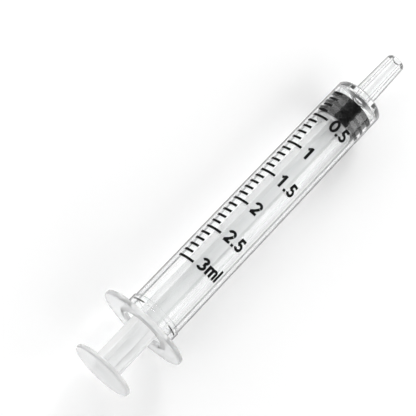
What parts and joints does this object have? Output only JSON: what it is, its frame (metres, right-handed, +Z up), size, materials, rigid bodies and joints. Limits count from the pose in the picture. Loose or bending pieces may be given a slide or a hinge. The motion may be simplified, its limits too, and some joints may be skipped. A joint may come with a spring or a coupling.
{
  "type": "three-part slip-tip syringe",
  "caption": "Clear plastic syringe lying on its side, with an oval finger flange, a cross-ribbed sliding plunger, a black rubber stopper and a plain tapered tip.",
  "frame": {"origin": "on the floor under the middle of the bounding box", "axes": "+X towards the tip, +Y along the long way of the flange, +Z up; the barrel's axis dips towards the tip by the resting tilt of about 1.9 degrees"},
  "size_m": [0.087, 0.0193, 0.0147],
  "materials": {
    "barrel": "clear gloss",
    "plunger": "slightly milky clear",
    "stopper": "satin black"
  },
  "bodies": {
    "barrel": {"barrel": "barrel"},
    "stopper": {"stopper": "stopper"},
    "plunger": {"plunger": "plunger"}
  },
  "joints": [
    {"name": "stopper_slide", "type": "slide", "parent": "barrel", "child": "stopper", "axis": [-0.9994, 0, 0.0339], "range_m": [-0.00094, 0.05206]},
    {"name": "plunger_twist", "type": "hinge", "parent": "stopper", "child": "plunger", "pos_m": [0.02417, 0, 0.00547], "axis": [0.9994, 0, -0.0339], "continuous": true}
  ]
}
